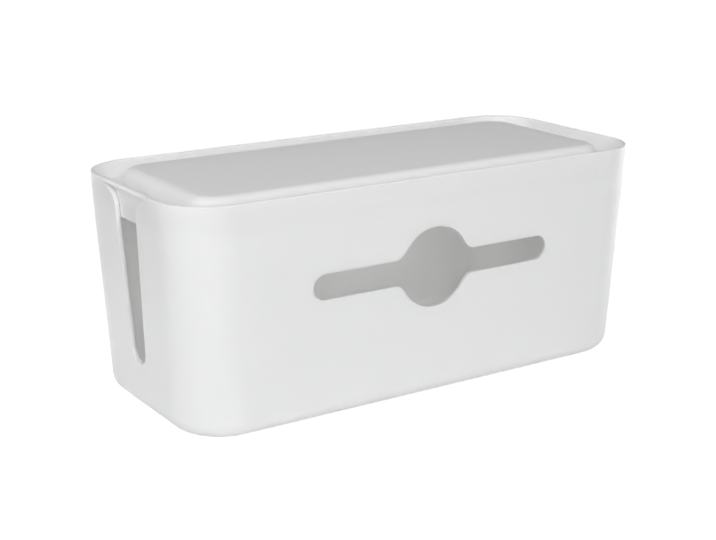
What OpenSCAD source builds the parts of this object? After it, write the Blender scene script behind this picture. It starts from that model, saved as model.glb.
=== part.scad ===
// Cable management box: a drafted tub with a cable opening in its front wall and a
// funnel-mouthed slot in its left end wall, a lift-off lid that sits inside the rim on
// four seat ribs, and four rubber feet. Millimetres, +Z up, origin at the centre of the
// ground that the feet stand on. The front wall faces -Y and the left end -X.

/* [Tub] */
// Outside length at the rim
rim_length = 320; // [300:1:360]
// Outside width at the rim
rim_width = 140; // [132:1:170]
// Height of the tub without its feet
tub_height = 132; // [126:1:150]
// Radius of the tub's upright corners
corner_radius = 31.5; // [28:0.5:36]
// Thickness of walls and floor
wall = 2.5; // [2.4:0.1:3]
// Lean of the end walls in degrees
end_draft = 3.04; // [2:0.02:4]
// Lean of the long walls in degrees
side_draft = 1.6; // [1:0.1:2.4]
// Radius of the edge between walls and floor
floor_edge_radius = 10; // [6:0.5:12]
// Rounding of the rim's outer and inner edge
rim_round = 1.1; // [0.4:0.1:1.1]

/* [Front opening] */
// End-to-end length of the long opening
opening_length = 163; // [120:1:200]
// Height of the long opening
opening_height = 15; // [10:0.5:20]
// Diameter of the round hole in its middle
opening_hole = 47.5; // [40:0.5:60]
// Height of the opening's centre above the tub's underside
opening_centre = 78.5; // [60:0.5:85]
// Radius of the blends between the arms and the hole
opening_blend = 8; // [3:0.5:12]

/* [End slot] */
// Height of the slot's lowest point above the tub's underside
slot_bottom = 29.5; // [20:0.5:45]
// Radius of the slot's round bottom
slot_radius = 8.65; // [6:0.05:9]
// Lean of each side of the slot in degrees
slot_lean = 3.28; // [1:0.02:4]
// Distance below the rim where the slot's funnel mouth begins
mouth_depth = 12.6; // [12:0.1:14]
// Radius of the mouth's first bend, out of the slot's side
mouth_tight_radius = 8; // [6:0.5:9]
// Radius of the mouth's second bend, up towards the rim
mouth_wide_radius = 44; // [40:1:60]
// Slope in degrees where the two bends meet
mouth_slope = 27; // [24:1:30]
// Width of the mouth's shallow top step
mouth_width = 56; // [50:1:60]

/* [Lid] */
// Running gap between the lid and the tub
lid_gap = 0.45; // [0.3:0.05:0.8]
// Thickness of the lid
lid_wall = 2.2; // [1.8:0.1:2.6]
// Depth of the channel floor below the rim
channel_depth = 10; // [8:0.5:11]
// Width of the channel along the long walls
channel_side = 12.4; // [8:0.1:16]
// Width of the channel along the end walls
channel_end = 16.2; // [12:0.1:20]
// Plan radius of the raised panel's corners
panel_radius = 17; // [14:0.5:22]
// Radius of the panel's soft shoulder
shoulder_radius = 7.5; // [5:0.5:8]
// Height of the panel's edge above the rim
panel_rise = 0.1; // [0:0.1:1]
// Extra height of the panel at its middle
panel_crown = 0.42; // [0:0.02:1]
// Distance from the rim down to the tongue's lower edge
tongue_depth = 19.8; // [18:0.2:22]
// Thickness of the tongue at its middle
tongue_wall = 2; // [1.6:0.1:2.4]

/* [Seat ribs and feet] */
// Thickness of a seat rib
rib_wall = 1.6; // [1.2:0.1:2.5]
// Distance that a seat rib stands out of the end wall
rib_depth = 3; // [2.5:0.1:5]
// Distance of a seat rib from the box's middle plane
rib_offset = 37; // [35:0.5:38]
// Diameter of a rubber foot
foot_diameter = 14; // [10:0.5:18]
// Height that a foot holds the tub above the ground
foot_stand = 1.5; // [1:0.1:3]
// Depth of the recess that a foot is stuck into
foot_recess = 1; // [0.6:0.1:1.2]
// Distance between the feet along the box
foot_spacing_x = 236; // [180:1:240]
// Distance between the feet across the box
foot_spacing_y = 76; // [50:1:80]

/* [Hidden] */
$fn = 96;
white = [0.93, 0.93, 0.93];
grey_rubber = [0.62, 0.62, 0.61];

corner_steps = 15;
edge_steps = 8;
round_steps = 4;
outline_steps = 12;
margin = 1;

panel_length_half = rim_length / 2 - wall - channel_end;
panel_width_half = rim_width / 2 - wall - channel_side;
panel_edge_z = tub_height + panel_rise;
channel_z = tub_height - channel_depth;
flange_z = channel_z - lid_wall;
channel_fillet = 1.5;
flange_round = 0.5;
mouth_z = tub_height - mouth_depth;
tongue_z = tub_height - tongue_depth;
tongue_half_low = 17;
tongue_half = mouth_width / 2 + 3;
plate_edge = 0.4;
plate_round = 0.85 * tongue_wall;
pocket_depth = 0.45 * tongue_wall;
pocket_border = 1.5;
pocket_half = mouth_width / 2 - 8;
foot_gap = 0.2;
foot_round = 0.6;

// Half length, half width and corner radius of the tub's outside at height z, moved inwards
function tub_outline(z, inset) = [
    rim_length / 2 - (tub_height - z) * tan(end_draft) - inset,
    rim_width / 2 - (tub_height - z) * tan(side_draft) - inset,
    corner_radius - inset
];

// The raised panel's outline, moved inwards
function panel_outline(inset) = [
    panel_length_half - inset,
    panel_width_half - inset,
    panel_radius - inset
];

// One closed ring of points round a rounded rectangle [half length, half width, radius] at height z
function ring(outline, z) = [
    for (quarter = [0:3], i = [0:corner_steps])
        let (
            turn = 90 * (quarter + i / corner_steps),
            side_x = quarter == 0 || quarter == 3 ? 1 : -1,
            side_y = quarter < 2 ? 1 : -1
        )
        [
            side_x * (outline[0] - outline[2]) + outline[2] * cos(turn),
            side_y * (outline[1] - outline[2]) + outline[2] * sin(turn),
            z
        ]
];

// Points along an arc, as [across, up], from angle a to angle b round a centre
function arc(centre, radius, a, b, steps) = [
    for (i = [0:steps])
        let (turn = a + (b - a) * i / steps)
        [centre[0] + radius * cos(turn), centre[1] + radius * sin(turn)]
];

// Points of a bend that starts at a point, heading at angle a, and ends heading at angle b
function bend(start, radius, a, b, steps) = [
    for (i = [1:steps])
        let (heading = a + (b - a) * i / steps)
        [
            start[0] + radius * (sin(a) - sin(heading)),
            start[1] + radius * (cos(heading) - cos(a))
        ]
];

// Reverses a list of [across, up] points and mirrors it to the other side
function mirrored(points) = [
    for (i = [len(points) - 1:-1:0])
        [-points[i][0], points[i][1]]
];

// A closed solid through rings of equal length, each ring counterclockwise seen from above
module loft(rings) {
    count = len(rings[0]);
    last = (len(rings) - 1) * count;
    walls = [
        for (j = [0:len(rings) - 2], i = [0:count - 1])
            let (a = j * count + i, b = j * count + (i + 1) % count)
            [a, a + count, b + count, b]
    ];
    floor_cap = [[for (i = [0:count - 1]) i]];
    top_cap = [[for (i = [count - 1:-1:0]) last + i]];
    polyhedron(points = [for (one = rings) each one], faces = concat(floor_cap, walls, top_cap));
}

module at_left_end() {
    mirror([1, 0, 0])
        children();
}

module both_ends() {
    children();
    at_left_end()
        children();
}

// Turns a profile drawn as [y, z] into a bar along X, from x = 0
module along_x(length) {
    rotate([90, 0, 90])
        linear_extrude(height = length)
            children();
}

// Turns a profile drawn as [x, z] into a bar along Y, centred on y = 0
module along_y(length) {
    rotate([90, 0, 0])
        linear_extrude(height = length, center = true)
            children();
}

// Rings up the tub's bottom edge, for a wall surface moved inwards from the outside
function bottom_rings(inset, radius) = [
    for (i = [0:edge_steps])
        let (turn = 90 * i / edge_steps, z = inset + radius * (1 - cos(turn)))
        ring(tub_outline(z, inset + radius * (1 - sin(turn))), z)
];

module tub_outside() {
    rim = [
        for (i = [0:round_steps])
            let (turn = 90 * i / round_steps, z = tub_height - rim_round * (1 - sin(turn)))
            ring(tub_outline(z, rim_round * (1 - cos(turn))), z)
    ];
    loft(concat(bottom_rings(0, floor_edge_radius), rim));
}

module tub_cavity() {
    rim = [
        for (i = [0:round_steps])
            let (turn = 90 * i / round_steps, z = tub_height - rim_round * (1 - sin(turn)))
            ring(tub_outline(z, wall - rim_round * (1 - cos(turn))), z)
    ];
    above = [ring(tub_outline(tub_height, wall - rim_round), tub_height + margin)];
    loft(concat(bottom_rings(wall, floor_edge_radius - wall), rim, above));
}

// Ribs that grow out of the leaning end walls, whose tops carry the lid's flange
module seat_ribs() {
    edge_x = tub_outline(flange_z, wall)[0] - rib_depth;
    start_z = max(wall / 2, flange_z - rib_depth / tan(end_draft) - margin);
    both_ends()
        for (side = [-1, 1])
            translate([0, side * rib_offset, 0])
                along_y(rib_wall)
                    polygon([
                        [edge_x, start_z],
                        [tub_outline(start_z, wall / 2)[0], start_z],
                        [tub_outline(flange_z, wall / 2)[0], flange_z],
                        [edge_x, flange_z]
                    ]);
}

// A long opening with round ends, a round hole in its middle and blended inner corners
module front_opening() {
    half_height = opening_height / 2;
    hole_radius = opening_hole / 2;
    blend_up = half_height + opening_blend;
    blend_across = sqrt(pow(hole_radius + opening_blend, 2) - pow(blend_up, 2));
    slope = atan2(blend_up, blend_across);
    end_across = opening_length / 2 - half_height;
    upper_half = concat(
        arc([end_across, 0], half_height, 0, 90, outline_steps),
        arc([blend_across, blend_up], opening_blend, 270, 180 + slope, outline_steps),
        arc([0, 0], hole_radius, slope, 90, outline_steps)
    );
    upper = concat(upper_half, mirrored(upper_half));
    lower = [for (i = [len(upper) - 2:-1:1]) [upper[i][0], -upper[i][1]]];
    depth = 20;
    translate([0, -rim_width / 2 + depth / 2, opening_centre])
        along_y(2 * depth)
            polygon(concat(upper, lower));
}

// One side of the end slot, from its lowest point up the side and out through the mouth
function slot_side() =
    let (
        low = arc([0, slot_bottom + slot_radius], slot_radius, -90, -slot_lean, outline_steps),
        low_end = low[outline_steps],
        straight = [low_end[0] + (mouth_z - low_end[1]) * tan(slot_lean), mouth_z],
        tight = bend(straight, mouth_tight_radius, 90 - slot_lean, mouth_slope, edge_steps),
        tight_end = tight[edge_steps - 1],
        reach = sin(mouth_slope) - (mouth_width / 2 - tight_end[0]) / mouth_wide_radius,
        wide = bend(tight_end, mouth_wide_radius, mouth_slope, asin(reach), edge_steps)
    )
    concat(low, [straight], tight, wide);

// Height of the shallow step where the mouth's curve ends
mouth_step_z = slot_side()[len(slot_side()) - 1][1];

module end_slot() {
    side = slot_side();
    top = [[mouth_width / 2, tub_height + margin]];
    depth = 20;
    at_left_end()
        translate([rim_length / 2 - depth, 0, 0])
            along_x(2 * depth)
                polygon(concat(side, top, mirrored(concat([for (i = [1:len(side) - 1]) side[i]], top))));
}

module at_feet() {
    for (x = [-0.5, 0.5], y = [-0.5, 0.5])
        translate([x * foot_spacing_x, y * foot_spacing_y, 0])
            children();
}

module box_body() {
    color(white)
        translate([0, 0, foot_stand])
            difference() {
                tub_outside();
                difference() {
                    tub_cavity();
                    seat_ribs();
                }
                front_opening();
                end_slot();
                at_feet()
                    translate([0, 0, -margin])
                        cylinder(h = foot_recess + margin, r = foot_diameter / 2 + foot_gap);
            }
}

// The lid's moulded tray: underside, flange, sunken channel and raised panel with its crown
module lid_tray() {
    shoulder_z = panel_edge_z - shoulder_radius;
    inner_radius = shoulder_radius - lid_wall;
    top = panel_outline(shoulder_radius);
    foot_inset = -channel_fillet;
    underside = [
        for (i = [edge_steps:-1:0])
            let (turn = 90 * i / edge_steps)
            ring(
                panel_outline(shoulder_radius - inner_radius * cos(turn)),
                shoulder_z + inner_radius * sin(turn)
            )
    ];
    flange = [
        ring(panel_outline(lid_wall), flange_z),
        ring(tub_outline(flange_z, wall + lid_gap), flange_z),
        ring(tub_outline(channel_z - flange_round, wall + lid_gap), channel_z - flange_round),
        ring(tub_outline(channel_z, wall + lid_gap + flange_round), channel_z)
    ];
    channel = [
        for (i = [0:round_steps])
            let (turn = 90 * i / round_steps)
            ring(
                panel_outline(foot_inset * (1 - sin(turn))),
                channel_z + channel_fillet * (1 - cos(turn))
            )
    ];
    shoulder = [
        for (i = [0:edge_steps])
            let (turn = 90 * i / edge_steps)
            ring(
                panel_outline(shoulder_radius * (1 - cos(turn))),
                shoulder_z + shoulder_radius * sin(turn)
            )
    ];
    crown = [
        for (share = [0.8, 0.6, 0.4])
            ring(top * share, panel_edge_z + panel_crown * (1 - share * share))
    ];
    loft(concat(underside, flange, channel, shoulder, crown));
}

// Leans a tongue's own frame, with x outwards and z up the end wall, to lie along the wall
module along_end_wall() {
    translate([tub_outline(tongue_z, 0)[0], 0, tongue_z])
        rotate([0, end_draft, 0])
            children();
}

// Side view of the tongue's plate: its inner top edge is softly rounded
module plate_profile() {
    face = wall + lid_gap;
    back = face + tongue_wall;
    round_centre = [tub_outline(tub_height, back - plate_round)[0], tub_height - plate_round];
    polygon(concat(
        [
            [tub_outline(tongue_z, back)[0], tongue_z],
            [tub_outline(tongue_z, face)[0], tongue_z],
            [tub_outline(tub_height, face)[0], tub_height]
        ],
        arc(round_centre, plate_round, 90, 180, edge_steps)
    ));
}

// Plan of the plate: full depth at the middle and thin at its two sides
module plate_plan() {
    back = wall + lid_gap + tongue_wall;
    bulge = tongue_wall - plate_edge;
    bulge_radius = (pow(tongue_half, 2) + pow(bulge, 2)) / (2 * bulge);
    spread = asin(tongue_half / bulge_radius);
    inner = arc([bulge_radius - back, 0], bulge_radius, 180 + spread, 180 - spread, outline_steps);
    polygon(concat(inner, [[0, tongue_half], [0, -tongue_half]]));
}

// The plate that hangs behind the slot's mouth and closes it
module tongue_plate() {
    intersection() {
        along_y(2 * tongue_half)
            plate_profile();
        along_x(rim_length)
            polygon([
                [-tongue_half_low, tongue_z],
                [tongue_half_low, tongue_z],
                [tongue_half, flange_z],
                [tongue_half, tub_height],
                [-tongue_half, tub_height],
                [-tongue_half, flange_z]
            ]);
        along_end_wall()
            translate([0, 0, -margin])
                linear_extrude(height = tongue_depth + 2 * margin)
                    plate_plan();
    }
}

// The shallow recess in the plate's outer face, which follows the mouth's outline
module tongue_pocket() {
    side = [
        for (point = slot_side())
            if (point[1] > tongue_z + pocket_border)
                [point[0] - pocket_border, point[1] - tongue_z]
    ];
    bottom = [[side[0][0], pocket_border]];
    half_outline = concat(bottom, [for (point = side) if (point[0] < pocket_half) point]);
    along_end_wall()
        translate([-wall - lid_gap - pocket_depth, 0, 0])
            along_x(pocket_depth + margin)
                polygon(concat(half_outline, mirrored(half_outline)));
}

// The lip that lies across the shallow step in the end wall, flush with the rim
module tongue_lip() {
    back = wall + lid_gap + plate_edge / 2;
    low = mouth_step_z + lid_gap;
    round_z = tub_height - rim_round;
    along_y(mouth_width - 2 * lid_gap)
        polygon(concat(
            [[tub_outline(low, back)[0], low], [tub_outline(low, 0)[0], low]],
            arc([tub_outline(round_z, rim_round)[0], round_z], rim_round, 0, 90, round_steps),
            [[tub_outline(tub_height, back)[0], tub_height]]
        ));
}

module lid() {
    color(white)
        translate([0, 0, foot_stand]) {
            difference() {
                union() {
                    lid_tray();
                    at_left_end()
                        tongue_plate();
                }
                at_left_end()
                    tongue_pocket();
            }
            at_left_end()
                tongue_lip();
        }
}

// A rubber disc with a rounded lower edge, standing on the ground
module foot(side_x, side_y) {
    radius = foot_diameter / 2;
    color(grey_rubber)
        translate([side_x * foot_spacing_x / 2, side_y * foot_spacing_y / 2, 0])
            rotate_extrude()
                polygon(concat(
                    [[0, 0]],
                    arc([radius - foot_round, foot_round], foot_round, -90, 0, round_steps),
                    [[radius, foot_stand + foot_recess], [0, foot_stand + foot_recess]]
                ));
}

box_body();
lid();
foot(-1, -1);  // foot_front_left
foot(1, -1);  // foot_front_right
foot(-1, 1);  // foot_rear_left
foot(1, 1);  // foot_rear_right
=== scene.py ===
"""Looks of a white cable management box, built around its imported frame.

The tub and the lid are smooth shells swept through rings by Geometry Nodes, then cut,
joined and given soft edges. Everything is in metres in the frame's own axes: +X along
the box, -Y out of its front wall, +Z up.
"""

import logging
import math
from dataclasses import dataclass
from enum import Enum

import bmesh
import bpy
from mathutils import Matrix, Vector


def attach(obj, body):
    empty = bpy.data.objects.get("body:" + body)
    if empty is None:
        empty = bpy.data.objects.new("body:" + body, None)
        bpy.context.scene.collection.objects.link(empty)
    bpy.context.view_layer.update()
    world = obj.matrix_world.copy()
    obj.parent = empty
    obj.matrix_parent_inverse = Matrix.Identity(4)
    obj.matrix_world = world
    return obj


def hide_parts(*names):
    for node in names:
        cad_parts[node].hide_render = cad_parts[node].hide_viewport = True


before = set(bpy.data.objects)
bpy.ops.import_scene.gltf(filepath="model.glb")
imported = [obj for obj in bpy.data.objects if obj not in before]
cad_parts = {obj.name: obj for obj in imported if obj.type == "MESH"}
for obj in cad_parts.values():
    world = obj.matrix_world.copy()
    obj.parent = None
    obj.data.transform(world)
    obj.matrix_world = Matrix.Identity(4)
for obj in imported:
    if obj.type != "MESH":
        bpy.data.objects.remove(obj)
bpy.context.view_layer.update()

Point = tuple[float, float]
Triple = tuple[float, float, float]
Socket = bpy.types.NodeSocket

LOG = logging.getLogger("cable_box")
MM = 0.001
LIGHT_BOUNCES = 16
WHITE: Triple = (1.0, 1.0, 1.0)
FOOT_SPACING: Point = (236 * MM, 76 * MM)


class Body(Enum):
    """The rigid bodies that a piece can ride on."""

    BOX = "box"
    LID = "lid"


class Slot(Enum):
    """The record's material slots."""

    BODY = "body_plastic"
    LID = "lid_plastic"
    FOOT = "foot_rubber"


class Cut(Enum):
    """How one solid changes another."""

    REMOVE = "DIFFERENCE"
    ADD = "UNION"


# ---------------------------------------------------------------- outlines and sections


@dataclass(frozen=True)
class Ring:
    """One level outline of a swept shell: a rounded rectangle at a height."""

    half_length: float
    half_width: float
    radius: float
    height: float

    @classmethod
    def tip(cls, height: float) -> "Ring":
        """The single point in the middle that closes a shell."""
        return cls(0.0, 0.0, 0.0, height)


def quarter_turn(steps: int) -> list[float]:
    """Evenly spaced angles from nought to a right angle, in radians."""
    return [i / steps * math.pi / 2 for i in range(steps + 1)]


def arc(centre: Point, radius: float, start: float, end: float, steps: int) -> list[Point]:
    """Points along an arc.

    Args:
        centre: Centre of the arc, as (across, up).
        radius: Radius of the arc.
        start: First angle in degrees.
        end: Last angle in degrees.
        steps: Number of equal stretches.

    Returns:
        The points, both ends included.
    """
    turns = [math.radians(start + (end - start) * i / steps) for i in range(steps + 1)]
    return [(centre[0] + radius * math.cos(t), centre[1] + radius * math.sin(t)) for t in turns]


def bend(start: Point, radius: float, heading: float, leaving: float, steps: int) -> list[Point]:
    """Points of a bend to the right that starts at a point.

    Args:
        start: Where the bend begins, as (across, up).
        radius: Radius of the bend.
        heading: Direction in degrees at its start.
        leaving: Direction in degrees at its end.
        steps: Number of equal stretches.

    Returns:
        The points after the start.
    """
    first = math.radians(heading)
    points = []
    for i in range(1, steps + 1):
        turn = math.radians(heading + (leaving - heading) * i / steps)
        across = start[0] + radius * (math.sin(first) - math.sin(turn))
        points.append((across, start[1] + radius * (math.cos(turn) - math.cos(first))))
    return points


def across_at(points: list[Point], up: float) -> float:
    """Where a rising line of points passes a height.

    Args:
        points: The line's points, as (across, up).
        up: The height.

    Returns:
        How far across the line is at that height.

    Raises:
        ValueError: If the line doesn't reach the height.
    """
    for (x0, z0), (x1, z1) in zip(points, points[1:]):
        if z0 <= up <= z1:
            return x0 + (x1 - x0) * (up - z0) / (z1 - z0)
    raise ValueError(f"no point of the line is at {up}")


def evenly(points: list[Point], count: int) -> list[Point]:
    """The same line through a number of evenly spaced points.

    Args:
        points: The line's points.
        count: Number of points wanted.

    Returns:
        The new points, with the line's own ends.
    """
    reach = [0.0]
    for near, far in zip(points, points[1:]):
        reach.append(reach[-1] + math.dist(near, far))
    spread = []
    i = 0
    for k in range(count):
        goal = reach[-1] * k / (count - 1)
        while i < len(points) - 2 and reach[i + 1] < goal:
            i += 1
        share = (goal - reach[i]) / (reach[i + 1] - reach[i])
        near, far = points[i], points[i + 1]
        spread.append((near[0] + (far[0] - near[0]) * share, near[1] + (far[1] - near[1]) * share))
    return spread


def mirrored(points: list[Point]) -> list[Point]:
    """The same points on the other side, in reverse order."""
    return [(-across, up) for across, up in reversed(points)]


@dataclass(frozen=True)
class TubForm:
    """The tub's outside: a rounded rectangle that leans outwards from floor to rim."""

    length: float = 320 * MM
    width: float = 140 * MM
    height: float = 132 * MM
    corner: float = 31.5 * MM
    end_lean: float = 3.04
    side_lean: float = 1.6
    stand: float = 1.5 * MM
    wall: float = 2.5 * MM
    rim_round: float = 1.1 * MM

    def half_length(self, up: float, inset: float) -> float:
        """Half length at a height above the underside, moved inwards."""
        return self.length / 2 - (self.height - up) * math.tan(math.radians(self.end_lean)) - inset

    def half_width(self, up: float, inset: float) -> float:
        """Half width at a height above the underside, moved inwards."""
        return self.width / 2 - (self.height - up) * math.tan(math.radians(self.side_lean)) - inset

    def ring(self, up: float, inset: float) -> Ring:
        """The outline at a height above the underside, moved inwards."""
        half_length, half_width = self.half_length(up, inset), self.half_width(up, inset)
        return Ring(half_length, half_width, self.corner - inset, up + self.stand)


# ---------------------------------------------------------------- node trees


def shade(colour: Triple, tone: float = 1.0) -> tuple[float, ...]:
    """A colour brought down to a share of itself, with full cover as its last part."""
    return (*(part * tone for part in colour), 1.0)


class NodeMaker:
    """Adds nodes to a tree and links their sockets."""

    def __init__(self, tree: bpy.types.NodeTree) -> None:
        """Keeps the tree that the nodes go into."""
        self.tree = tree

    @classmethod
    def blank(cls, owner: bpy.types.Material | bpy.types.World) -> "NodeMaker":
        """Empties the node tree of a material or a world.

        Args:
            owner: The material or the world.

        Returns:
            A maker for its empty tree.
        """
        owner.use_nodes = True
        owner.node_tree.nodes.clear()
        return cls(owner.node_tree)

    def add(
        self, kind: str, inputs: dict[str | int, object] | None = None, **settings: object
    ) -> bpy.types.Node:
        """Adds one node.

        Args:
            kind: The node's type name.
            inputs: Values or sockets for its inputs, by input name or number.
            **settings: Attributes to set before its inputs.

        Returns:
            The new node.
        """
        node = self.tree.nodes.new(kind)
        for name, value in settings.items():
            setattr(node, name, value)
        for name, value in (inputs or {}).items():
            if isinstance(value, bpy.types.NodeSocket):
                self.tree.links.new(value, node.inputs[name])
            else:
                node.inputs[name].default_value = value
        return node

    def math(self, operation: str, *values: object) -> Socket:
        """The result of a Math node on numbers or sockets."""
        return self.add("ShaderNodeMath", dict(enumerate(values)), operation=operation).outputs[0]

    def field(self, name: str) -> Socket:
        """A named number stored on each point."""
        node = self.add("GeometryNodeInputNamedAttribute", {"Name": name}, data_type="FLOAT")
        return node.outputs["Attribute"]

    def noise(self, position: Socket, size: float, detail: float, roughness: float) -> Socket:
        """The strength of a noise pattern.

        Args:
            position: Where on the piece it is read.
            size: Size of its largest marks.
            detail: Number of finer layers.
            roughness: Strength of the finer layers.

        Returns:
            The strength, from 0 to 1.
        """
        inputs = {"Vector": position, "Scale": 1 / size, "Detail": detail, "Roughness": roughness}
        return self.add("ShaderNodeTexNoise", inputs).outputs["Fac"]

    def bump(self, height: Socket, distance: float, under: Socket | None = None) -> Socket:
        """The normal of a surface with a pattern on it.

        Args:
            height: The pattern's strength.
            distance: Its height at full strength.
            under: The normal of what lies under it, where that isn't smooth.

        Returns:
            The changed normal.
        """
        inputs = {"Strength": 1.0, "Distance": distance, "Height": height}
        if under is not None:
            inputs["Normal"] = under
        return self.add("ShaderNodeBump", inputs).outputs["Normal"]

    def mix(self, share: Socket, first: object, second: object, blend: str = "MIX") -> Socket:
        """Two colours mixed.

        Args:
            share: How much of the second is taken.
            first: The colour at a share of 0.
            second: The other colour.
            blend: How the second is laid over the first.

        Returns:
            The mixed colour.
        """
        inputs = {"Factor": share, "A": first, "B": second}
        mixed = self.add("ShaderNodeMix", inputs, data_type="RGBA", blend_type=blend)
        return mixed.outputs["Result"]

    def send_shape(self, shape: Socket, material: Socket, name: str) -> None:
        """Makes a shape real, gives it its material and sends it out of the tree.

        Args:
            shape: The geometry.
            material: The material.
            name: The name of the tree's output.
        """
        whole = self.add("GeometryNodeRealizeInstances", {"Geometry": shape}).outputs[0]
        dressed = self.add("GeometryNodeSetMaterial", {"Geometry": whole, "Material": material})
        self.add("NodeGroupOutput", {name: dressed.outputs[0]})


def geometry_tree(name: str, inputs: dict[str, str], output: str) -> bpy.types.GeometryNodeTree:
    """Makes a Geometry Nodes tree that has its sockets and no nodes.

    Args:
        name: The tree's name.
        inputs: The kind of each input, by its name.
        output: The name of its one output, a shape.

    Returns:
        The tree.
    """
    tree = bpy.data.node_groups.new(name, "GeometryNodeTree")
    for label, kind in inputs.items():
        tree.interface.new_socket(name=label, in_out="INPUT", socket_type=f"NodeSocket{kind}")
    tree.interface.new_socket(name=output, in_out="OUTPUT", socket_type="NodeSocketGeometry")
    return tree


def set_inputs(modifier: bpy.types.NodesModifier, values: dict[str, object]) -> None:
    """Sets a modifier's inputs by their sockets' identifiers.

    Args:
        modifier: The Geometry Nodes modifier.
        values: The values, by the inputs' names.
    """
    for item in modifier.node_group.interface.items_tree:
        if item.item_type == "SOCKET" and item.in_out == "INPUT" and item.name in values:
            modifier[item.identifier] = values[item.name]


class RingSweep:
    """A Geometry Nodes tree that sweeps a closed shell through a stack of rings.

    The host mesh has one point a ring, which carries the ring's three sizes and, as its
    height, the ring's level. The quarters of a ring run right rear, left rear, left front
    and right front.
    """

    NAME = "ring_sweep"
    SIZES = ("half_length", "half_width", "radius")
    INPUTS = {
        "Rings": "Geometry",
        "Corner steps": "Int",
        "Seam distance": "Float",
        "Material": "Material",
    }
    CORNER_STEPS = 32
    SEAM = 1e-6
    QUARTERS = 4.0
    HALF_STEP = 0.5
    FRONT_AFTER = 1.5
    LEFT_MIDDLE = 1.5
    LEFT_REACH = 0.75

    @classmethod
    def tree(cls) -> bpy.types.GeometryNodeTree:
        """Makes the tree the first time, and finds it again later.

        Returns:
            The tree.
        """
        known = bpy.data.node_groups.get(cls.NAME)
        if known:
            return known
        tree = geometry_tree(cls.NAME, cls.INPUTS, "Shell")
        make = NodeMaker(tree)
        given = make.add("NodeGroupInput").outputs
        rows = make.add(
            "GeometryNodeAttributeDomainSize", {"Geometry": given["Rings"]}, component="MESH"
        ).outputs["Point Count"]
        per_quarter = make.math("ADD", given["Corner steps"], 1.0)
        columns = make.math("MULTIPLY_ADD", per_quarter, cls.QUARTERS, 1.0)
        grid = make.add("GeometryNodeMeshGrid", {"Vertices X": columns, "Vertices Y": rows})
        index = make.add("GeometryNodeInputIndex").outputs[0]

        def times(number: Socket, size: Socket) -> Socket:
            """How many whole times a size goes into a whole number."""
            middle = make.math("ADD", number, cls.HALF_STEP)
            return make.math("FLOOR", make.math("DIVIDE", middle, size))

        column = times(index, rows)
        row = make.math("SUBTRACT", index, make.math("MULTIPLY", column, rows))
        quarter = times(column, per_quarter)
        step = make.math("SUBTRACT", column, make.math("MULTIPLY", quarter, per_quarter))
        share = make.math("ADD", quarter, make.math("DIVIDE", step, given["Corner steps"]))
        turn = make.math("MULTIPLY", share, math.pi / 2)
        corner = make.math("MODULO", quarter, cls.QUARTERS)
        left = make.math("COMPARE", corner, cls.LEFT_MIDDLE, cls.LEFT_REACH)
        front = make.math("GREATER_THAN", corner, cls.FRONT_AFTER)

        def sampled(value: Socket) -> Socket:
            """The value that this row's ring holds."""
            inputs = {"Geometry": given["Rings"], "Value": value, "Index": row}
            return make.add(
                "GeometryNodeSampleIndex", inputs, data_type="FLOAT", domain="POINT"
            ).outputs[0]

        half_length, half_width, radius = (sampled(make.field(name)) for name in cls.SIZES)
        host_place = make.add("GeometryNodeInputPosition").outputs[0]
        level = make.add("ShaderNodeSeparateXYZ", {"Vector": host_place}).outputs["Z"]

        def coordinate(half: Socket, far_side: Socket, wave: str) -> Socket:
            """Across one direction: the corner's centre plus its share of the radius.

            Args:
                half: Half the ring's size in that direction.
                far_side: 1 on the negative side and 0 on the positive one.
                wave: The share that a turn gives, COSINE or SINE.

            Returns:
                The coordinate.
            """
            sign = make.math("MULTIPLY_ADD", far_side, -2.0, 1.0)
            centre = make.math("MULTIPLY", sign, make.math("SUBTRACT", half, radius))
            return make.math("MULTIPLY_ADD", radius, make.math(wave, turn), centre)

        position = make.add(
            "ShaderNodeCombineXYZ",
            {
                "X": coordinate(half_length, left, "COSINE"),
                "Y": coordinate(half_width, front, "SINE"),
                "Z": sampled(level),
            },
        ).outputs[0]
        placed = make.add(
            "GeometryNodeSetPosition", {"Geometry": grid.outputs["Mesh"], "Position": position}
        )
        closed = make.add(
            "GeometryNodeMergeByDistance",
            {"Geometry": placed.outputs[0], "Distance": given["Seam distance"]},
        )
        make.send_shape(closed.outputs[0], given["Material"], "Shell")
        return tree

    @classmethod
    def host(cls, name: str, rings: list[Ring]) -> bpy.types.Object:
        """A mesh object with one point a ring.

        Args:
            name: The object's name.
            rings: The rings in order, from one closed end to the other.

        Returns:
            The object, linked to the scene.
        """
        mesh = bpy.data.meshes.new(name)
        mesh.from_pydata([(0.0, 0.0, ring.height) for ring in rings], [], [])
        for size in cls.SIZES:
            values = mesh.attributes.new(size, "FLOAT", "POINT")
            values.data.foreach_set("value", [getattr(ring, size) for ring in rings])
        return add_object(name, mesh)

    @classmethod
    def build(cls, name: str, rings: list[Ring], material: bpy.types.Material) -> bpy.types.Object:
        """Sweeps a closed shell through rings and makes it a plain mesh.

        Args:
            name: The piece's name.
            rings: The rings in order, from one closed end to the other.
            material: The piece's material.

        Returns:
            The piece.
        """
        sizes = {"Corner steps": cls.CORNER_STEPS, "Seam distance": cls.SEAM, "Material": material}
        return grow(cls.host(name, rings), cls.tree(), sizes)


# ---------------------------------------------------------------- mesh tools


def add_object(name: str, data: bpy.types.ID | None) -> bpy.types.Object:
    """Makes an object and links it to the scene.

    Args:
        name: The object's name.
        data: Its mesh, lamp or camera.

    Returns:
        The object.
    """
    item = bpy.data.objects.new(name, data)
    bpy.context.scene.collection.objects.link(item)
    return item


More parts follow.
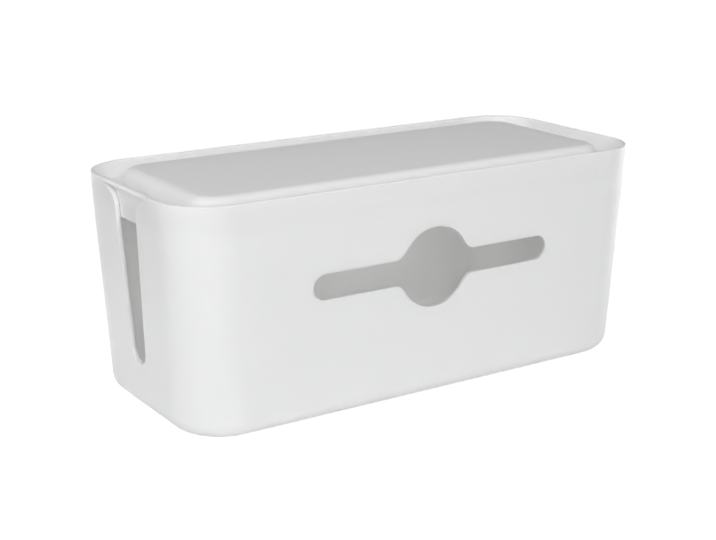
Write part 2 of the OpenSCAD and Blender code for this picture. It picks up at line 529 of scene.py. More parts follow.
def bake(piece: bpy.types.Object) -> None:
    """Turns a piece and its modifiers into a plain mesh of one material.

    Args:
        piece: The piece, which keeps its name and loses its modifiers.
    """
    bpy.context.view_layer.update()
    depsgraph = bpy.context.evaluated_depsgraph_get()
    mesh = bpy.data.meshes.new_from_object(
        piece.evaluated_get(depsgraph), preserve_all_data_layers=True, depsgraph=depsgraph
    )
    material = next(item for item in mesh.materials if item)
    mesh.materials.clear()
    mesh.materials.append(material)
    old = piece.data
    piece.modifiers.clear()
    piece.data = mesh
    mesh.name = piece.name
    bpy.data.meshes.remove(old)


def face_outwards(mesh: bpy.types.Mesh) -> None:
    """Turns every face of a closed mesh outwards and shades it smooth.

    Args:
        mesh: The mesh.
    """
    work = bmesh.new()
    work.from_mesh(mesh)
    bmesh.ops.recalc_face_normals(work, faces=work.faces)
    for face in work.faces:
        face.smooth = True
    work.to_mesh(mesh)
    work.free()


def grow(
    piece: bpy.types.Object, tree: bpy.types.GeometryNodeTree, sizes: dict[str, object]
) -> bpy.types.Object:
    """Runs a Geometry Nodes tree on a host and keeps the result as a plain closed mesh.

    Args:
        piece: The host, whose mesh gives way to the result.
        tree: The tree.
        sizes: The values of its inputs, by their names.

    Returns:
        The piece.
    """
    modifier = piece.modifiers.new("grow", "NODES")
    modifier.node_group = tree
    set_inputs(modifier, sizes)
    bake(piece)
    face_outwards(piece.data)
    return piece


def solid(name: str, work: bmesh.types.BMesh) -> bpy.types.Object:
    """Makes an object of a closed working mesh, with its faces outwards.

    Args:
        name: The object's name.
        work: The working mesh, which is freed.

    Returns:
        The object.
    """
    bmesh.ops.recalc_face_normals(work, faces=work.faces)
    mesh = bpy.data.meshes.new(name)
    work.to_mesh(mesh)
    work.free()
    return add_object(name, mesh)


def stations(name: str, sections: list[list[Vector]]) -> bpy.types.Object:
    """A closed solid through sections with equal numbers of points.

    Args:
        name: The object's name.
        sections: The closed sections in order.

    Returns:
        The solid.
    """
    work = bmesh.new()
    loops = [[work.verts.new(point) for point in section] for section in sections]
    for one, other in zip(loops, loops[1:]):
        for i, near in enumerate(one):
            after = (i + 1) % len(one)
            work.faces.new((near, other[i], other[after], one[after]))
    work.faces.new(loops[0])
    work.faces.new(list(reversed(loops[-1])))
    return solid(name, work)


def prism(name: str, outline: list[Vector], along: Vector) -> bpy.types.Object:
    """A closed bar: an outline carried the way and the distance of a vector."""
    return stations(name, [outline, [point + along for point in outline]])


def mirror_x(item: bpy.types.Object, name: str) -> bpy.types.Object:
    """A copy of a closed solid at the other end of the box.

    Args:
        item: The solid.
        name: The copy's name.

    Returns:
        The copy.
    """
    work = bmesh.new()
    work.from_mesh(item.data)
    work.transform(Matrix.Scale(-1, 4, Vector((1, 0, 0))))
    return solid(name, work)


def carve(piece: bpy.types.Object, tools: list[bpy.types.Object], cut: Cut) -> None:
    """Cuts solids out of a piece, or joins them to it, and deletes them.

    Args:
        piece: The piece that changes.
        tools: The closed solids.
        cut: Whether they are removed or added.
    """
    for tool in tools:
        modifier = piece.modifiers.new("carve", "BOOLEAN")
        modifier.operation = cut.value
        modifier.solver = "EXACT"
        modifier.object = tool
    bake(piece)
    for tool in tools:
        mesh = tool.data
        bpy.data.objects.remove(tool)
        bpy.data.meshes.remove(mesh)


@dataclass(frozen=True)
class SoftEdge:
    """The small rounding that a mould leaves on a cut edge."""

    width: float = 0.35 * MM
    segments: int = 3
    angle: float = 40.0
    evenness: int = 60

    def apply(self, piece: bpy.types.Object) -> None:
        """Rounds a piece's sharp edges and evens its shading.

        Args:
            piece: The piece.
        """
        rounding = piece.modifiers.new("soft edge", "BEVEL")
        rounding.width = self.width
        rounding.segments = self.segments
        rounding.limit_method = "ANGLE"
        rounding.angle_limit = math.radians(self.angle)
        rounding.use_clamp_overlap = True
        rounding.miter_outer = "MITER_ARC"
        shading = piece.modifiers.new("even shading", "WEIGHTED_NORMAL")
        shading.mode = "FACE_AREA"
        shading.weight = self.evenness
        bake(piece)


# ---------------------------------------------------------------- finishes


@dataclass(frozen=True)
class MouldedPlastic:
    """Matt white moulded plastic that lets a little light through, with painted shade that can darken
    its colour towards the rim.
    """

    name: str
    colour: Triple = (0.96, 0.96, 0.956)
    low_tone: float = 0.99
    # Painted shade: the colour is darkened towards the rim, to this share between these two heights,
    # against the glow that light through the thin wall gives there.
    rim_painted_shade: float = 1.0
    rim_painted_shade_reach: Point = (108 * MM, 130 * MM)
    roughness: float = 0.5
    roughness_drift: float = 0.04
    ior: float = 1.48
    sheen: float = 0.4
    glow: float = 1.0
    glow_radius: float = 5.2 * MM
    glow_reach: Triple = (1.0, 0.98, 0.95)
    grain_size: float = 0.35 * MM
    grain_height: float = 0.006 * MM
    grain_detail: float = 2.0
    grain_roughness: float = 0.6
    wave_size: float = 60 * MM
    wave_height: float = 0.12 * MM
    wave_detail: float = 1.0
    wave_roughness: float = 0.4

    def paint_shade_at_rim(self, make: NodeMaker, position: Socket, tint: Socket) -> Socket:
        """The colour, darkened towards the rim by painted shade that holds back the glow of light
        through the thin wall there.

        Args:
            make: The maker of the material's nodes.
            position: Where on the piece it is read.
            tint: The colour.

        Returns:
            The colour with the painted rim shade in it.
        """
        height = make.add("ShaderNodeSeparateXYZ", {"Vector": position}).outputs["Z"]
        # Share of the painted rim shade at this height.
        painted_shade_share = make.add(
            "ShaderNodeMapRange",
            {"Value": height, "From Min": self.rim_painted_shade_reach[0], "From Max": self.rim_painted_shade_reach[1]},
            interpolation_type="SMOOTHSTEP",
        ).outputs["Result"]
        return make.mix(painted_shade_share, tint, shade(WHITE, self.rim_painted_shade), "MULTIPLY")

    def material(self) -> bpy.types.Material:
        """Builds the material.

        Returns:
            The material.
        """
        material = bpy.data.materials.new(self.name)
        make = NodeMaker.blank(material)
        position = make.add("ShaderNodeTexCoord").outputs["Object"]
        grain = make.noise(position, self.grain_size, self.grain_detail, self.grain_roughness)
        wave = make.noise(position, self.wave_size, self.wave_detail, self.wave_roughness)
        low, high = self.roughness - self.roughness_drift, self.roughness + self.roughness_drift
        rough = make.add("ShaderNodeMapRange", {"Value": wave, "To Min": low, "To Max": high})
        tint = make.mix(wave, shade(self.colour, self.low_tone), shade(self.colour))
        shader = make.add(
            "ShaderNodeBsdfPrincipled",
            {
                "Base Color": self.paint_shade_at_rim(make, position, tint),
                "Roughness": rough.outputs["Result"],
                "IOR": self.ior,
                "Specular IOR Level": self.sheen,
                "Subsurface Weight": self.glow,
                "Subsurface Radius": self.glow_reach,
                "Subsurface Scale": self.glow_radius,
                "Normal": make.bump(grain, self.grain_height, make.bump(wave, self.wave_height)),
            },
        )
        make.add("ShaderNodeOutputMaterial", {"Surface": shader.outputs[0]})
        return material


@dataclass(frozen=True)
class FootRubber:
    """Soft pale grey rubber of the stick-on feet."""

    name: str = "foot_rubber_finish"
    colour: Triple = (0.52, 0.52, 0.5)
    low_tone: float = 0.93
    roughness: float = 0.75
    ior: float = 1.5
    grain_size: float = 0.6 * MM
    grain_height: float = 0.02 * MM
    grain_detail: float = 2.0
    grain_roughness: float = 0.5

    def material(self) -> bpy.types.Material:
        """Builds the material.

        Returns:
            The material.
        """
        material = bpy.data.materials.new(self.name)
        make = NodeMaker.blank(material)
        position = make.add("ShaderNodeTexCoord").outputs["Object"]
        grain = make.noise(position, self.grain_size, self.grain_detail, self.grain_roughness)
        shader = make.add(
            "ShaderNodeBsdfPrincipled",
            {
                "Base Color": make.mix(grain, shade(self.colour, self.low_tone), shade(self.colour)),
                "Roughness": self.roughness,
                "IOR": self.ior,
                "Normal": make.bump(grain, self.grain_height),
            },
        )
        make.add("ShaderNodeOutputMaterial", {"Surface": shader.outputs[0]})
        return material


# ---------------------------------------------------------------- sub-assemblies


@dataclass
class EndMouth:
    """The slot in an end wall: a V with a round bottom that opens as a funnel at the rim."""

    form: TubForm
    bottom: float = 29.5 * MM
    radius: float = 8.65 * MM
    lean: float = 3.28
    depth: float = 12.6 * MM
    tight: float = 8 * MM
    wide: float = 44 * MM
    slope: float = 27.0
    width: float = 56 * MM
    cut_above: float = 5 * MM
    cut_reach: float = 20 * MM
    steps: int = 24

    def side(self) -> list[Point]:
        """One side of the mouth, as (across, up).

        Returns:
            The points from the lowest one up to the shallow step below the rim.
        """
        low = arc((0.0, self.bottom + self.radius), self.radius, -90, -self.lean, self.steps)
        start = self.form.height - self.depth
        across = low[-1][0] + (start - low[-1][1]) * math.tan(math.radians(self.lean))
        tight = bend((across, start), self.tight, 90 - self.lean, self.slope, self.steps)
        reach = math.sin(math.radians(self.slope)) - (self.width / 2 - tight[-1][0]) / self.wide
        wide = bend(tight[-1], self.wide, self.slope, math.degrees(math.asin(reach)), self.steps)
        return low + [(across, start)] + tight + wide

    def step_height(self) -> float:
        """Height above the underside where the mouth's curve ends."""
        return self.side()[-1][1]

    def pocket(self, inset: float, low: float, high: float, count: int) -> list[Point]:
        """The mouth's outline between two heights, moved towards its middle.

        Args:
            inset: How far it is moved.
            low: Height above the underside of its lower edge.
            high: Height above the underside of its upper edge.
            count: Number of points on each side.

        Returns:
            The closed outline.
        """
        side = self.side()
        moved = []
        for before, here, after in zip(side, side[1:], side[2:]):
            across, up = after[0] - before[0], after[1] - before[1]
            length = math.hypot(across, up)
            moved.append((here[0] - inset * up / length, here[1] + inset * across / length))
        inner = [(across_at(moved, low), low)] + [point for point in moved if low < point[1] < high]
        inner.append((across_at(moved, high), high))
        spread = evenly(inner, count)
        return spread + mirrored(spread)

    def cutter(self) -> bpy.types.Object:
        """The solid that cuts the slot into the left end wall.

        Returns:
            The solid, which reaches past the wall and above the rim.
        """
        side = self.side() + [(self.width / 2, self.form.height + self.cut_above)]
        outline = side + mirrored(side)[:-1]
        start = -self.form.length / 2 - self.cut_reach
        points = [Vector((start, y, z + self.form.stand)) for y, z in outline]
        return prism("slot_cutter", points, Vector((2 * self.cut_reach, 0, 0)))


@dataclass
class FrontOpening:
    """The long opening in the front wall: round ends, a round hole and blended corners."""

    form: TubForm
    length: float = 163 * MM
    height: float = 15 * MM
    hole: float = 47.5 * MM
    centre: float = 78.5 * MM
    blend: float = 8 * MM
    cut_before: float = 10 * MM
    cut_depth: float = 30 * MM
    steps: int = 24

    def outline(self) -> list[Point]:
        """The closed outline about the opening's own centre.

        Returns:
            The points, as (along the wall, up).
        """
        half = self.height / 2
        hole = self.hole / 2
        up = half + self.blend
        across = math.sqrt((hole + self.blend) ** 2 - up**2)
        slope = math.degrees(math.atan2(up, across))
        right = (
            arc((self.length / 2 - half, 0.0), half, 0, 90, self.steps)
            + arc((across, up), self.blend, 270, 180 + slope, self.steps)
            + arc((0.0, 0.0), hole, slope, 90, self.steps)
        )
        upper = right + mirrored(right)[1:]
        return upper + [(x, -z) for x, z in reversed(upper[1:-1])]

    def cutter(self) -> bpy.types.Object:
        """The solid that cuts the opening into the front wall.

        Returns:
            The solid, which reaches past the wall on both sides.
        """
        level = self.centre + self.form.stand
        start = -self.form.width / 2 - self.cut_before
        points = [Vector((x, start, level + z)) for x, z in self.outline()]
        return prism("opening_cutter", points, Vector((0, self.cut_depth, 0)))


@dataclass
class Tub:
    """The box's body: one moulding with its openings, seat ribs and foot recesses."""

    form: TubForm
    mouth: EndMouth
    opening: FrontOpening
    finish: MouldedPlastic
    edge: SoftEdge = SoftEdge()
    floor_edge: float = 10 * MM
    flange_level: float = 119.8 * MM
    rib_wall: float = 1.6 * MM
    rib_depth: float = 3 * MM
    rib_offset: float = 37 * MM
    recess_radius: float = 7.2 * MM
    recess_depth: float = 1 * MM
    recess_steps: int = 48
    foot_spacing: Point = FOOT_SPACING
    edge_steps: int = 16
    rim_steps: int = 6

    def floor_bend(self, radius: float, skin: float) -> list[Point]:
        """The bend between floor and wall of one skin.

        Args:
            radius: The bend's radius.
            skin: How deep the skin lies below the outside.

        Returns:
            The bend's points, as (height above the underside, inset).
        """
        turns = quarter_turn(self.edge_steps)
        bent = [(radius * (1 - math.cos(t)), radius * (1 - math.sin(t))) for t in turns]
        return [(skin + up, skin + inset) for up, inset in bent]

    def rim_bend(self, skin: float, way: int) -> list[Point]:
        """The rounding of the rim on one skin.

        Args:
            skin: How deep the skin lies below the outside.
            way: 1 where the rounding goes inwards and -1 where it goes outwards.

        Returns:
            The rounding's points, as (height above the underside, inset).
        """
        height, radius = self.form.height, self.form.rim_round
        turns = quarter_turn(self.rim_steps)
        bent = [(radius * (1 - math.sin(t)), radius * (1 - math.cos(t))) for t in turns]
        return [(height - down, skin + way * inset) for down, inset in bent]

    def rings(self) -> list[Ring]:
        """The shell's rings: up the outside, over the rim and down to the floor inside.

        Returns:
            The rings in order.
        """
        form = self.form
        outer = self.floor_bend(self.floor_edge, 0.0) + self.rim_bend(0.0, 1)
        inner = self.floor_bend(self.floor_edge - form.wall, form.wall) + self.rim_bend(form.wall, -1)
        walls = [form.ring(up, inset) for up, inset in outer + inner[::-1]]
        return [Ring.tip(form.stand), *walls, Ring.tip(form.stand + form.wall)]

    def ribs(self) -> list[bpy.types.Object]:
        """The four ribs that grow out of the leaning end walls and carry the lid.

        Returns:
            The ribs' solids, with their roots inside the walls.
        """
        form = self.form
        top = self.flange_level
        edge = form.half_length(top, form.wall) - self.rib_depth
        start = top - self.rib_depth / math.tan(math.radians(form.end_lean))
        profile = [
            (edge, start),
            (edge, top),
            (form.half_length(top, form.wall / 2), top),
            (form.half_length(start, form.wall / 2), start),
        ]
        solids = []
        for side in (-1, 1):
            y = side * self.rib_offset - self.rib_wall / 2
            points = [Vector((x, y, z + form.stand)) for x, z in profile]
            rib = prism(f"rib_{side}", points, Vector((0, self.rib_wall, 0)))
            solids += [rib, mirror_x(rib, f"rib_{side}_left")]
        return solids

    def recesses(self) -> list[bpy.types.Object]:
        """The solids that sink a shallow round recess for each foot.

        Returns:
            The four solids.
        """
        solids = []
        for x in (-0.5, 0.5):
            for y in (-0.5, 0.5):
                centre = (x * self.foot_spacing[0], y * self.foot_spacing[1])
                circle = arc(centre, self.recess_radius, 0, 360, self.recess_steps)[:-1]
                points = [Vector((*point, 0.0)) for point in circle]
                lift = Vector((0, 0, self.form.stand + self.recess_depth))
                solids.append(prism("recess_cutter", points, lift))
        return solids

    def build(self) -> bpy.types.Object:
        """Makes the tub and puts it in place of its CAD node.

        Returns:
            The tub.
        """
        piece = RingSweep.build("tub_shell", self.rings(), self.finish.material())
        carve(piece, self.ribs(), Cut.ADD)
        carve(piece, [self.opening.cutter(), self.mouth.cutter(), *self.recesses()], Cut.REMOVE)
        self.edge.apply(piece)
        return place(piece, Body.BOX, Slot.BODY, "box_body")


@dataclass
class Lid:
    """The lift-off lid: raised panel, sunken channel, flange and the tongue at its left end."""

    form: TubForm
    mouth: EndMouth
    finish: MouldedPlastic
    edge: SoftEdge = SoftEdge(width=0.2 * MM, angle=35.0)
    gap: float = 0.45 * MM
    thickness: float = 2.2 * MM
    channel_depth: float = 10 * MM
    channel_side: float = 12.4 * MM
    channel_end: float = 16.2 * MM
    corner: float = 17 * MM
    shoulder: float = 7.5 * MM
    rise: float = 0.1 * MM
    crown: float = 0.34 * MM
    crown_shares: tuple[float, ...] = (0.95, 0.85, 0.7, 0.5, 0.25, 0.0)
    fillet: float = 1.5 * MM
    flange_round: float = 0.5 * MM
    steps: int = 16
    tongue_depth: float = 19.8 * MM
    tongue_wall: float = 2 * MM
    tongue_overlap: float = 3 * MM
    tongue_low_half: float = 17 * MM
    tongue_edge: float = 0.4 * MM
    tongue_bend: float = 0.85
    tongue_bend_steps: int = 8
    tongue_stations: int = 48
    pocket_depth: float = 0.9 * MM
    pocket_slope: float = 1.5 * MM
    pocket_margin: float = 0.15 * MM
    pocket_steps: int = 40
    lip_gap: float = 0.2 * MM
    lip_root: float = 0.03 * MM
    lip_steps: int = 6

    def panel(self, inset: float, up: float) -> Ring:
        """The raised panel's outline, moved inwards, at a height above the underside.

        Args:
            inset: How far it is moved.
            up: The height.

        Returns:
            The outline.
        """
        form = self.form
        return Ring(
            form.length / 2 - form.wall - self.channel_end - inset,
            form.width / 2 - form.wall - self.channel_side - inset,
            self.corner - inset,
            up + form.stand,
        )

    def crown_ring(self, edge: Ring, share: float) -> Ring:
        """One ring of the panel's slightly domed top.

        Args:
            edge: The ring round the top's edge.
            share: The new ring's size as a share of it.

        Returns:
            The ring.
        """
        rise = self.crown * (1 - share**2)
        return Ring(
            edge.half_length * share, edge.half_width * share, edge.radius * share, edge.height + rise
        )

    def rings(self) -> list[Ring]:
        """The tray's rings: from the underside's middle out round the flange to the crown.

        Returns:
            The rings in order.
        """
        form = self.form
        top = form.height + self.rise
        channel = form.height - self.channel_depth
        flange = channel - self.thickness
        shoulder = top - self.shoulder
        inner = self.shoulder - self.thickness
        face = form.wall + self.gap
        turns = quarter_turn(self.steps)
        rings = [Ring.tip(shoulder + inner + form.stand)]
        for t in reversed(turns):
            inset = self.shoulder - inner * math.cos(t)
            rings.append(self.panel(inset, shoulder + inner * math.sin(t)))
        rings += [
            self.panel(self.thickness, flange),
            form.ring(flange, face),
            form.ring(channel - self.flange_round, face),
            form.ring(channel, face + self.flange_round),
        ]
        for t in turns[::2]:
            inset = -self.fillet * (1 - math.sin(t))
            rings.append(self.panel(inset, channel + self.fillet * (1 - math.cos(t))))
        for t in turns:
            inset = self.shoulder * (1 - math.cos(t))
            rings.append(self.panel(inset, shoulder + self.shoulder * math.sin(t)))
        edge = self.panel(self.shoulder, top)
        return rings + [self.crown_ring(edge, share) for share in self.crown_shares]

    def tongue_half(self) -> float:
        """Half width of the tongue's plate."""
        return self.mouth.width / 2 + self.tongue_overlap

    def tongue_section(self, y: float) -> list[Vector]:
        """The plate's closed section at a distance from the middle plane.

        Args:
            y: The distance, to either side.

        Returns:
            The section's points, from its lower inner edge outwards and up.
        """
        form = self.form
        half = self.tongue_half()
        face = form.wall + self.gap
        depth = self.tongue_edge + (self.tongue_wall - self.tongue_edge) * (1 - (y / half) ** 2)
        back = face + depth
        climb = max(0.0, abs(y) - self.tongue_low_half) / (half - self.tongue_low_half)
        low = form.height - self.tongue_depth
        low += (form.height - self.channel_depth - self.thickness - low) * climb
        top = form.height
        bend_radius = depth * self.tongue_bend
        bend_centre = (form.half_length(top, back - bend_radius), top - bend_radius)
        points = [
            (form.half_length(low, back), low),
            (form.half_length(low, face), low),
            (form.half_length(top, face), top),
            *arc(bend_centre, bend_radius, 90, 180, self.tongue_bend_steps),
        ]
        return [Vector((-x, y, z + form.stand)) for x, z in points]

    def tongue_plate(self) -> bpy.types.Object:
        """The plate that hangs behind the left end wall and closes the slot's mouth.

        Returns:
            The plate's solid.
        """
        count = self.tongue_stations
        places = [self.tongue_half() * (2 * i / count - 1) for i in range(count + 1)]
        return stations("tongue_plate", [self.tongue_section(y) for y in places])

    def tongue_pocket(self) -> bpy.types.Object:
        """The solid that sinks the plate's outer face inside the mouth's outline.

        Returns:
            The solid, which narrows towards the pocket's floor.
        """
        form = self.form
        low = form.height - self.tongue_depth
        high = self.mouth.step_height() - self.pocket_margin
        sections = []
        for slope, depth in ((0.0, -self.gap), (0.0, 0.0), (self.pocket_slope, self.pocket_depth)):
            inset = self.pocket_margin + slope
            floor = form.wall + self.gap + depth
            outline = self.mouth.pocket(inset, low + inset, high, self.pocket_steps)
            sections.append(
                [Vector((-form.half_length(z, floor), y, z + form.stand)) for y, z in outline]
            )
        return stations("tongue_pocket", sections)

    def tongue_lip(self) -> bpy.types.Object:
        """The lip that fills the shallow step in the left end wall, flush with the rim.

        Returns:
            The lip's solid.
        """
        form = self.form
        low = self.mouth.step_height() + self.lip_gap
        back = form.wall + self.gap + self.lip_root
        top = form.height
        level = top - form.rim_round
        bend_centre = (form.half_length(level, form.rim_round), level)
        outline = [
            (form.half_length(low, back), low),
            (form.half_length(low, 0.0), low),
            *arc(bend_centre, form.rim_round, 0, 90, self.lip_steps),
            (form.half_length(top, back), top),
        ]
        half = self.mouth.width / 2 - self.lip_gap
        points = [Vector((-x, -half, z + form.stand)) for x, z in outline]
        return prism("tongue_lip", points, Vector((0, 2 * half, 0)))

    def build(self) -> bpy.types.Object:
        """Makes the lid and puts it in place of its CAD node.

        Returns:
            The lid.
        """
        piece = RingSweep.build("lid_shell", self.rings(), self.finish.material())
        carve(piece, [self.tongue_plate(), self.tongue_lip()], Cut.ADD)
        carve(piece, [self.tongue_pocket()], Cut.REMOVE)
        self.edge.apply(piece)
        return place(piece, Body.LID, Slot.LID, "lid")


@dataclass
class Feet:
    """Four rubber discs, placed by one Geometry Nodes tree."""

    finish: FootRubber
    spacing: Point = FOOT_SPACING
    radius: float = 7 * MM
    height: float = 2.5 * MM
    rounding: float = 0.6 * MM
    rounding_steps: int = 6
    dish: float = 0.15 * MM
    dish_share: float = 0.7
    corner_steps: int = 12

    NAME = "rubber_feet"
    NODE_START = "foot_"
    INPUTS = {**RingSweep.INPUTS, "Spacing X": "Float", "Spacing Y": "Float"}
    FEET_A_SIDE = 2

    def rings(self) -> list[Ring]:
        """One foot's rings, from the middle of its underside to the middle of its top.

        Returns:
            The rings in order.
        """
        flat_edge = self.radius - 2 * self.rounding
        outline = [(0.0, self.dish), (self.radius * self.dish_share, self.dish), (flat_edge, 0.0)]
        centre = (self.radius - self.rounding, self.rounding)
        outline += arc(centre, self.rounding, -90, 0, self.rounding_steps)
        outline += [(self.radius, self.height), (0.0, self.height)]
        return [Ring(across, across, across, up) for across, up in outline]

    @classmethod
    def tree(cls) -> bpy.types.GeometryNodeTree:
        """The tree that sets one swept foot on each corner of a rectangle.

        Returns:
            The tree.
        """
        tree = geometry_tree("four_feet", cls.INPUTS, "Feet")
        make = NodeMaker(tree)
        given = make.add("NodeGroupInput").outputs
        passed_on = {name: given[name] for name in RingSweep.INPUTS}
        foot = make.add("GeometryNodeGroup", passed_on, node_tree=RingSweep.tree())
        corners = make.add(
            "GeometryNodeMeshGrid",
            {
                "Size X": given["Spacing X"],
                "Size Y": given["Spacing Y"],
                "Vertices X": cls.FEET_A_SIDE,
                "Vertices Y": cls.FEET_A_SIDE,
            },
        )
        placed = make.add(
            "GeometryNodeInstanceOnPoints",
            {"Points": corners.outputs["Mesh"], "Instance": foot.outputs[0]},
        )
        make.send_shape(placed.outputs[0], given["Material"], "Feet")
        return tree

    def build(self) -> bpy.types.Object:
        """Makes the feet and puts them in place of their CAD nodes.

        Returns:
            The feet, as one piece.
        """
        sizes = {
            "Spacing X": self.spacing[0],
            "Spacing Y": self.spacing[1],
            "Corner steps": self.corner_steps,
            "Seam distance": RingSweep.SEAM,
            "Material": self.finish.material(),
        }
        piece = grow(RingSweep.host(self.NAME, self.rings()), self.tree(), sizes)
        nodes = [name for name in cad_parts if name.startswith(self.NODE_START)]
        return place(piece, Body.BOX, Slot.FOOT, *nodes)


def place(piece: bpy.types.Object, body: Body, slot: Slot, *nodes: str) -> bpy.types.Object:
    """Puts a piece on its body and in place of its CAD nodes.

    Args:
        piece: The finished piece.
        body: The body it rides on.
        slot: The record's slot its finish comes from; not used.
        *nodes: The CAD nodes that it stands for.

    Returns:
        The piece.
    """
    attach(piece, body.value)
    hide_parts(*nodes)
    return piece


# ---------------------------------------------------------------- studio


def direction(azimuth: float, elevation: float) -> Vector:
    """The way from the object to a viewer.

    Args:
        azimuth: Degrees round the object from its front, positive towards its right end.
        elevation: Degrees up from level.

    Returns:
        The unit vector.
    """
    turn, lift = math.radians(azimuth), math.radians(elevation)
    return Vector(
        (math.sin(turn) * math.cos(lift), -math.cos(turn) * math.cos(lift), math.sin(lift))
    )


@dataclass(frozen=True)
class SoftLamp:
    """A soft light panel that faces the box, or a point set off from the box's middle."""

    name: str
    azimuth: float
    elevation: float
    power: float
    size: Point = (1.2, 1.2)
    distance: float = 2.0
    spread: float = 180.0
    aim: Triple = (0.0, 0.0, 0.0)

    SKIRT_LENGTH = 1.4
    SKIRT_DISTANCE = 1.1

    @classmethod
    def skirt(
        cls, name: str, azimuth: float, power: float, height: float, spread: float, aim: Triple
    ) -> "SoftLamp":
        """A low, narrow panel that brightens the lower part of one wall only.

        Args:
            name: The lamp's name.
            azimuth: Degrees round the box from its front.
            power: Power in watts.
            height: Height of the panel.
            spread: How wide its light opens, in degrees.
            aim: The point that it faces, set off from the box's middle.

        Returns:
            The lamp.
        """
        size = (cls.SKIRT_LENGTH, height)
        return cls(name, azimuth, 0.0, power, size, cls.SKIRT_DISTANCE, spread, aim)

    def build(self, target: Vector) -> bpy.types.Object:
        """Makes the lamp.

        Args:
            target: The box's middle.

        Returns:
            The lamp's object.
        """
        data = bpy.data.lights.new(self.name, "AREA")
        data.shape = "RECTANGLE"
        data.size, data.size_y = self.size
        data.energy = self.power
        data.spread = math.radians(self.spread)
        lamp = add_object(self.name, data)
        away = direction(self.azimuth, self.elevation)
        lamp.location = target + Vector(self.aim) + away * self.distance
        lamp.rotation_euler = away.to_track_quat("Z", "Y").to_euler()
        lamp.visible_camera = False
        return lamp


@dataclass(frozen=True)
class ProductCamera:
    """A camera placed by where the box's middle stands in the frame."""

    azimuth: float = -33.2016
    elevation: float = 16.182
    distance: float = 879.954 * MM
    focal: float = 1439.55
    frame_size: tuple[int, int] = (716, 540)
    middle: Point = (369.213, 260.372)
    sensor: float = 36.0
    clip_start: float = 0.01

    def build(self, target: Vector) -> bpy.types.Object:
        """Makes the camera and gives it to the scene.

        Args:
            target: The box's middle.

        Returns:
            The camera's object.
        """
        data = bpy.data.cameras.new("product_camera")
        data.sensor_width = self.sensor
        data.lens = self.sensor * self.focal / self.frame_size[0]
        data.clip_start = self.clip_start
        camera = add_object("product_camera", data)
        back = direction(self.azimuth, self.elevation)
        right = Vector((0, 0, 1)).cross(back).normalized()
        up = back.cross(right)
        across = (self.middle[0] - self.frame_size[0] / 2) / self.focal
        down = (self.middle[1] - self.frame_size[1] / 2) / self.focal
        eye = target + self.distance * (back - right * across + up * down)
        turn = Matrix((right, up, back)).transposed().to_4x4()
        camera.matrix_world = Matrix.Translation(eye) @ turn
        bpy.context.scene.camera = camera
        return camera


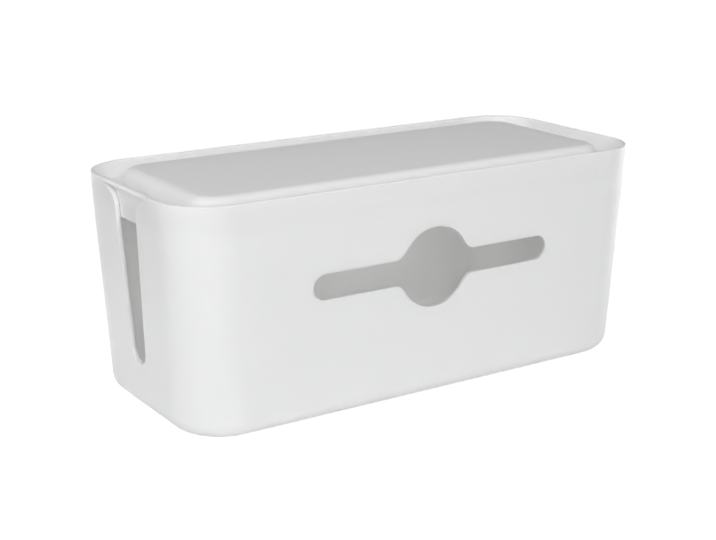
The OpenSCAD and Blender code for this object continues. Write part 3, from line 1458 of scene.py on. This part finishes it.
@dataclass
class Studio:
    """A plain pale floor, a white backdrop, five soft lamps and three low skirt lamps."""

    floor_size: float = 12.0
    floor_grey: float = 0.82
    floor_lift: Point = (0.6, 1.0)
    lift_reach: Point = (0.5, 1.6)
    mirror_grey: float = 0.3
    lamps: tuple[SoftLamp, ...] = (
        SoftLamp("key", -20.0, 20.0, 21.4),
        SoftLamp("left", -75.0, 22.0, 7.6),
        SoftLamp("right", 60.0, 25.0, 6.0),
        SoftLamp("top", 0.0, 85.0, 6.1),
        SoftLamp("top_left", -90.0, 55.0, 10.6),
        SoftLamp.skirt("rear_skirt", 180.0, 0.60, 0.09, 24.0, (-0.45, 0.0, -0.012)),
        SoftLamp.skirt("right_skirt", 100.0, 0.55, 0.09, 24.0, (0.0, 0.0, -0.012)),
        SoftLamp.skirt("left_skirt", -150.0, 0.05, 0.05, 8.0, (0.0, 0.0, -0.027)),
    )

    def build(self, target: Vector) -> None:
        """Makes the lamps, the floor and the backdrop.

        Args:
            target: The box's middle.
        """
        for lamp in self.lamps:
            lamp.build(target)
        self.build_floor()
        self.build_backdrop()

    def seen(self, make: NodeMaker) -> Socket:
        """White for rays from the eye, grey for reflections and nothing for the rest.

        Args:
            make: The maker of the nodes.

        Returns:
            The strength of the light that a ray sees.
        """
        path = make.add("ShaderNodeLightPath").outputs
        direct = make.math("MAXIMUM", path["Is Camera Ray"], path["Is Transmission Ray"])
        mirror = make.math("MULTIPLY", path["Is Glossy Ray"], self.mirror_grey)
        return make.math("MAXIMUM", direct, mirror)

    def floor_paper(self) -> bpy.types.Material:
        """The floor's paper: white to the eye, and shaded where the box keeps light off it.

        Returns:
            The material.
        """
        material = bpy.data.materials.new("studio_floor_paper")
        make = NodeMaker.blank(material)
        paper = make.add("ShaderNodeBsdfDiffuse", {"Color": shade(WHITE, self.floor_grey)})
        position = make.add("ShaderNodeTexCoord").outputs["Object"]
        away = make.add("ShaderNodeVectorMath", {0: position}, operation="LENGTH").outputs["Value"]
        lift = make.add(
            "ShaderNodeMapRange",
            {
                "Value": away,
                "From Min": self.lift_reach[0],
                "From Max": self.lift_reach[1],
                "To Min": self.floor_lift[0],
                "To Max": self.floor_lift[1],
            },
        ).outputs["Result"]
        strength = make.math("MULTIPLY", self.seen(make), lift)
        glow = make.add("ShaderNodeEmission", {"Strength": strength})
        both = make.add("ShaderNodeAddShader", {0: paper.outputs[0], 1: glow.outputs[0]})
        make.add("ShaderNodeOutputMaterial", {"Surface": both.outputs[0]})
        return material

    def build_floor(self) -> None:
        """Makes the floor."""
        work = bmesh.new()
        bmesh.ops.create_grid(work, x_segments=1, y_segments=1, size=self.floor_size / 2)
        mesh = bpy.data.meshes.new("studio_floor")
        work.to_mesh(mesh)
        work.free()
        mesh.materials.append(self.floor_paper())
        add_object("studio_floor", mesh)

    def build_backdrop(self) -> None:
        """Makes the world: plain white to the eye, and no light of its own."""
        world = bpy.data.worlds.new("studio_backdrop")
        bpy.context.scene.world = world
        make = NodeMaker.blank(world)
        inputs = {"Color": shade(WHITE), "Strength": self.seen(make)}
        sky = make.add("ShaderNodeBackground", inputs)
        make.add("ShaderNodeOutputWorld", {"Surface": sky.outputs[0]})


def main() -> None:
    """Builds the box and its studio, and reports each piece."""
    logging.basicConfig(level=logging.INFO, format="%(name)s: %(message)s")
    scene = bpy.context.scene
    scene.view_settings.view_transform = "Standard"
    scene.cycles.max_bounces = LIGHT_BOUNCES
    scene.cycles.diffuse_bounces = LIGHT_BOUNCES
    form = TubForm()
    mouth = EndMouth(form)
    target = Vector((0, 0, form.stand + form.height / 2))
    ProductCamera().build(target)
    builders = (
        # The tub's colour carries painted shade near its rim.
        Tub(form, mouth, FrontOpening(form), MouldedPlastic("tub_plastic", rim_painted_shade=0.88)),
        Lid(form, mouth, MouldedPlastic("lid_plastic", glow_radius=3 * MM)),
        Feet(FootRubber()),
    )
    for builder in builders:
        piece = builder.build()
        LOG.info("%s: %d faces", piece.name, len(piece.data.polygons))
    Studio().build(target)


if __name__ == "__main__":
    main()
